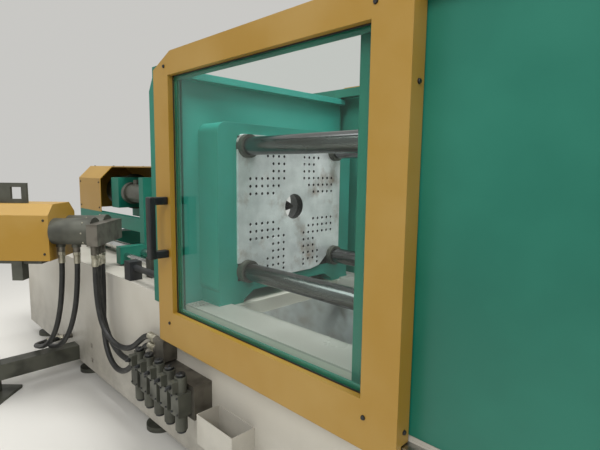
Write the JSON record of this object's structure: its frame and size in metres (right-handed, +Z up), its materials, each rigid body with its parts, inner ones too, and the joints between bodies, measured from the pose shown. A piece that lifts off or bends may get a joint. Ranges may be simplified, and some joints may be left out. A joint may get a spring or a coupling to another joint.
{
  "type": "injection moulding machine",
  "caption": "Horizontal plastics injection moulding machine with a hydraulic clamp, bolt-grid platens, sliding window doors, an injection unit and a side unit with hoses.",
  "frame": {"origin": "centre of the bolt grid on the mould face of the fixed platen", "axes": "+X along the machine axis towards the clamp, +Y away from the service side, +Z up"},
  "size_m": [5.35, 2.0523, 1.915],
  "materials": {
    "cream_enamel": "satin enamel, light grey",
    "green_enamel": "satin enamel, blue green",
    "ochre_enamel": "satin enamel, ochre yellow",
    "machined_steel": "machined",
    "bar_steel": "ground and hard chromed",
    "dark_steel": "dark grey enamel",
    "black_steel": "black",
    "bronze": "turned",
    "clear_pane": "clear polycarbonate",
    "hose_rubber": "matt",
    "black_plastic": "moulded",
    "grey_plastic": "moulded",
    "red_plastic": "moulded"
  },
  "bodies": {
    "machine": {"base_frame": "cream_enamel", "levelling_feet": "dark_steel", "deck_sills": "cream_enamel", "drop_chute": "machined_steel", "fixed_platen": "green_enamel", "tie_bars": "bar_steel", "tie_bar_nuts": "dark_steel", "front_bulkhead": "green_enamel", "side_guards": "green_enamel", "guide_beams": "green_enamel", "door_rails": "bar_steel", "rear_platen": "green_enamel", "clamp_cylinder": "dark_steel", "near_clamp_cover": "green_enamel", "far_clamp_cover": "green_enamel", "clamp_roof": "green_enamel", "valve_block": "machined_steel", "solenoid_valves": "dark_steel", "drip_tray": "cream_enamel", "guide_bars": "bar_steel", "bar_stands": "black_steel", "pull_cylinders": "dark_steel", "panel_arm": "dark_steel", "side_console": "dark_steel", "side_hood": "ochre_enamel", "side_cylinders": "dark_steel", "side_ports": "machined_steel", "hose_a": "hose_rubber", "hose_b": "hose_rubber", "hose_c": "hose_rubber", "hose_d_left": "hose_rubber", "hose_e_left": "hose_rubber"},
    "moving_half": {"moving_platen": "green_enamel", "guide_bushes": "bronze", "clamp_ram": "bar_steel"},
    "ejector": {"ejector_plate": "machined_steel"},
    "near_door": {"near_door_frame": "ochre_enamel", "near_door_window": "clear_pane", "near_door_handle": "black_plastic"},
    "far_door": {"far_door_frame": "ochre_enamel", "far_door_window": "clear_pane", "far_door_handle": "black_plastic"},
    "injection_carriage": {"carriage_frame": "green_enamel", "pull_rods": "bar_steel", "barrel": "machined_steel", "nozzle": "machined_steel", "heater_bands": "machined_steel", "feed_block": "machined_steel", "injection_cylinders": "dark_steel", "injection_hood": "ochre_enamel", "hopper": "machined_steel"},
    "hopper_lid": {"hopper_lid": "machined_steel"},
    "hopper_gate": {"hopper_gate": "machined_steel"},
    "screw_drive": {"crosshead": "green_enamel", "screw_motor": "dark_steel"},
    "screw": {"screw": "bar_steel"},
    "control_panel": {"control_panel": "grey_plastic"},
    "emergency_stop": {"emergency_stop": "red_plastic"},
    "main_switch": {"main_switch": "red_plastic"}
  },
  "joints": [
    {"name": "platen_slide", "type": "slide", "parent": "machine", "child": "moving_half", "axis": [-1, 0, 0], "range_m": [0, 0.6]},
    {"name": "ejector_slide", "type": "slide", "parent": "moving_half", "child": "ejector", "axis": [-1, 0, 0], "range_m": [0, 0.09]},
    {"name": "near_door_slide", "type": "slide", "parent": "machine", "child": "near_door", "axis": [1, 0, 0], "range_m": [0, 1]},
    {"name": "far_door_slide", "type": "slide", "parent": "machine", "child": "far_door", "axis": [1, 0, 0], "range_m": [0, 1]},
    {"name": "carriage_slide", "type": "slide", "parent": "machine", "child": "injection_carriage", "axis": [-1, 0, 0], "range_m": [0, 0.3]},
    {"name": "injection_slide", "type": "slide", "parent": "injection_carriage", "child": "screw_drive", "axis": [-1, 0, 0], "range_m": [0, 0.16]},
    {"name": "screw_spin", "type": "hinge", "parent": "screw_drive", "child": "screw", "pos_m": [-1.5, 0, 0], "axis": [1, 0, 0], "continuous": true},
    {"name": "hopper_lid_hinge", "type": "hinge", "parent": "injection_carriage", "child": "hopper_lid", "pos_m": [-1.07, 0.204, 0.632], "axis": [-1, 0, 0], "range_deg": [0, 100]},
    {"name": "hopper_gate_slide", "type": "slide", "parent": "injection_carriage", "child": "hopper_gate", "axis": [0, -1, 0], "range_m": [0, 0.1]},
    {"name": "panel_swivel", "type": "hinge", "parent": "machine", "child": "control_panel", "pos_m": [-0.474, 0.575, 0.31], "axis": [0, 0, -1], "range_deg": [0, 90]},
    {"name": "emergency_stop_press", "type": "slide", "parent": "control_panel", "child": "emergency_stop", "axis": [0, -1, 0], "range_m": [0, 0.006], "stiffness_N_per_m": 900},
    {"name": "main_switch_turn", "type": "hinge", "parent": "machine", "child": "main_switch", "pos_m": [-2.3, 0.53, -0.7], "axis": [0, 1, 0], "range_deg": [0, 90]}
  ]
}
